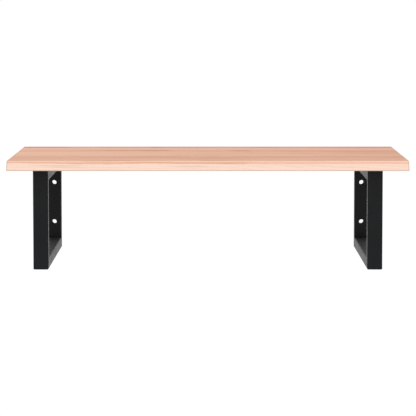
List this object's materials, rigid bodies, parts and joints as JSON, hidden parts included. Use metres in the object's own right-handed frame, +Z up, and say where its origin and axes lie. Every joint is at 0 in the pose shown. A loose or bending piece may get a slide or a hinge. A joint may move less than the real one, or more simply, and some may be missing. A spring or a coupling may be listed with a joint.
{
  "type": "wall shelf with brackets",
  "caption": "Deep wall shelf: a solid beech board with a natural front edge on welded black steel frame brackets that screw to the wall.",
  "frame": {"origin": "centre of the four wall screw holes, on the wall plane, which is the rear face of both brackets and of the board", "axes": "+X along the shelf's length, to the right when facing the wall; +Y into the wall; +Z up"},
  "size_m": [1, 0.6, 0.2743],
  "materials": {
    "beech_wood": "raw sanded beech, grain along the length",
    "black_powder_coat": "satin black powder coat on steel tube",
    "zinc_plate": "bright zinc plate"
  },
  "bodies": {
    "root": {"board": "beech_wood", "left_top_rail": "black_powder_coat", "left_bottom_rail": "black_powder_coat", "left_front_leg": "black_powder_coat", "left_rear_upright": "black_powder_coat", "left_board_screw_1": "zinc_plate", "left_washer_1": "zinc_plate", "left_board_screw_2": "zinc_plate", "left_washer_2": "zinc_plate", "left_board_screw_3": "zinc_plate", "left_washer_3": "zinc_plate", "left_board_screw_4": "zinc_plate", "left_washer_4": "zinc_plate", "right_top_rail": "black_powder_coat", "right_bottom_rail": "black_powder_coat", "right_front_leg": "black_powder_coat", "right_rear_upright": "black_powder_coat", "right_board_screw_1": "zinc_plate", "right_washer_1": "zinc_plate", "right_board_screw_2": "zinc_plate", "right_washer_2": "zinc_plate", "right_board_screw_3": "zinc_plate", "right_washer_3": "zinc_plate", "right_board_screw_4": "zinc_plate", "right_washer_4": "zinc_plate"}
  },
  "joints": []
}
